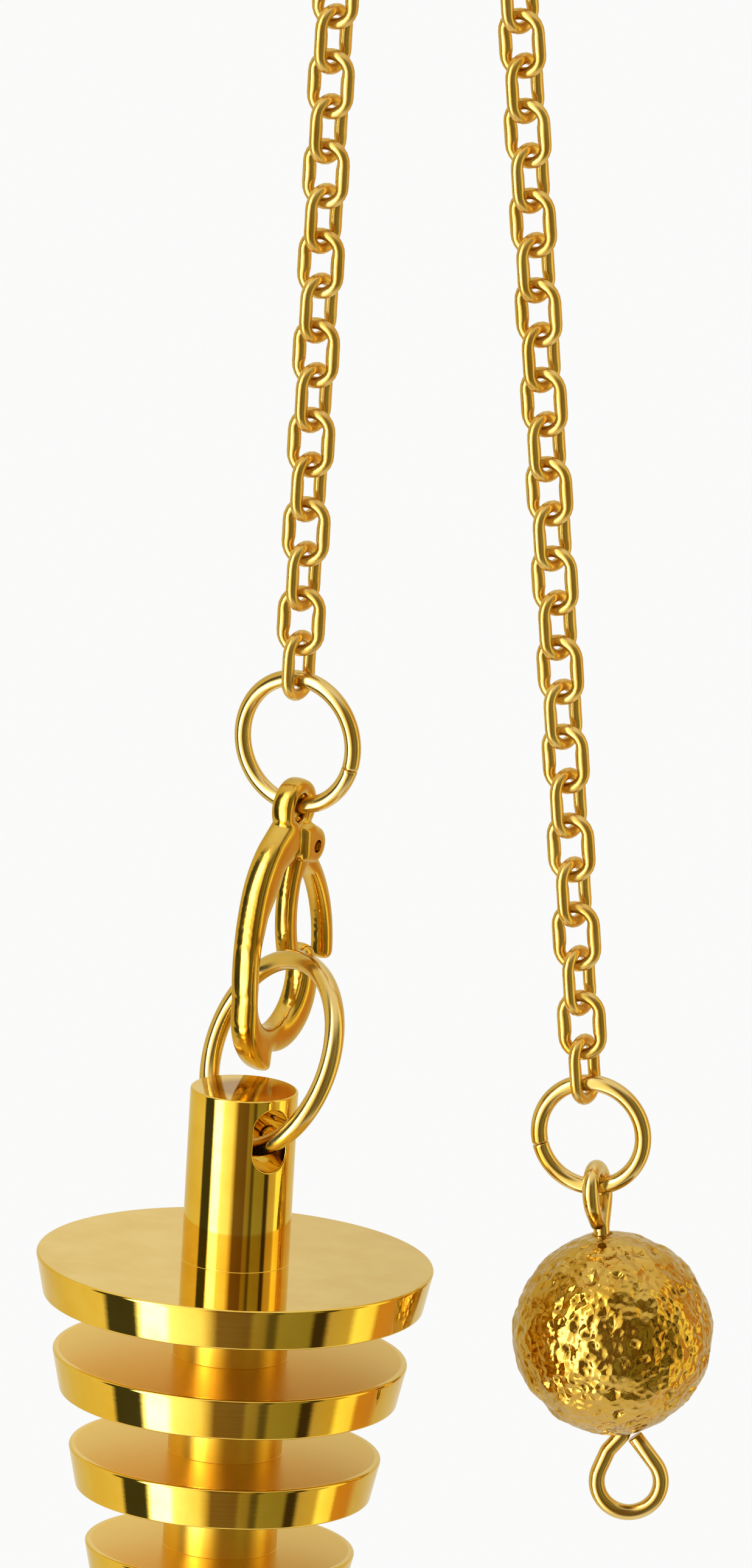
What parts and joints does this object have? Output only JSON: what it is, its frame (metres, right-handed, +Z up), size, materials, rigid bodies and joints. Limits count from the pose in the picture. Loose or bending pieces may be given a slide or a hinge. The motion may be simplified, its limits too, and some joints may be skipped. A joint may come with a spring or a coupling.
{
  "type": "pendulum pendant",
  "caption": "Dowsing pendulum: a finned, pointed weight on a lobster clasp and a pitted ball on a wire pin, at the two ends of a folded cable chain.",
  "frame": {"origin": "underside of the crown link at the middle of the folded chain, where the pendulum is held", "axes": "+Z is up, against the pull of the weight; +X runs from the weight's strand towards the ball's strand; +Y points away from the viewer of the front"},
  "size_m": [0.0329, 0.0192, 0.1415],
  "materials": {
    "chain_gold": "polished yellow plating on round wire",
    "ring_gold": "polished yellow plating on round wire",
    "clasp_gold": "polished yellow plating on cast metal",
    "weight_gold": "turned and mirror polished, plated yellow",
    "ball_gold": "plated yellow over a pitted, frosted surface"
  },
  "bodies": {
    "hanging_chain": {"chain_left": "chain_gold", "chain_right": "chain_gold", "clasp_ring": "ring_gold", "clasp_body": "clasp_gold", "clasp_rivet": "clasp_gold", "weight_ring": "ring_gold", "ball_ring": "ring_gold", "ball_pin": "ring_gold", "ball_bead": "ball_gold"},
    "lever": {"clasp_lever": "clasp_gold"},
    "weight": {"weight": "weight_gold"}
  },
  "joints": [
    {"name": "lever_pivot", "type": "hinge", "parent": "hanging_chain", "child": "lever", "pos_m": [-0.00184, 0.00086, -0.07738], "axis": [-0.866, 0.4973, 0.0523], "range_deg": [0, 6], "stiffness_Nm_per_rad": 0.0005, "springref_deg": -28.65},
    {"name": "weight_swing", "type": "hinge", "parent": "hanging_chain", "child": "weight", "pos_m": [-0.00384, -0.00426, -0.09076], "axis": [0.5664, -0.8241, 0], "range_deg": [-30, 20]}
  ]
}
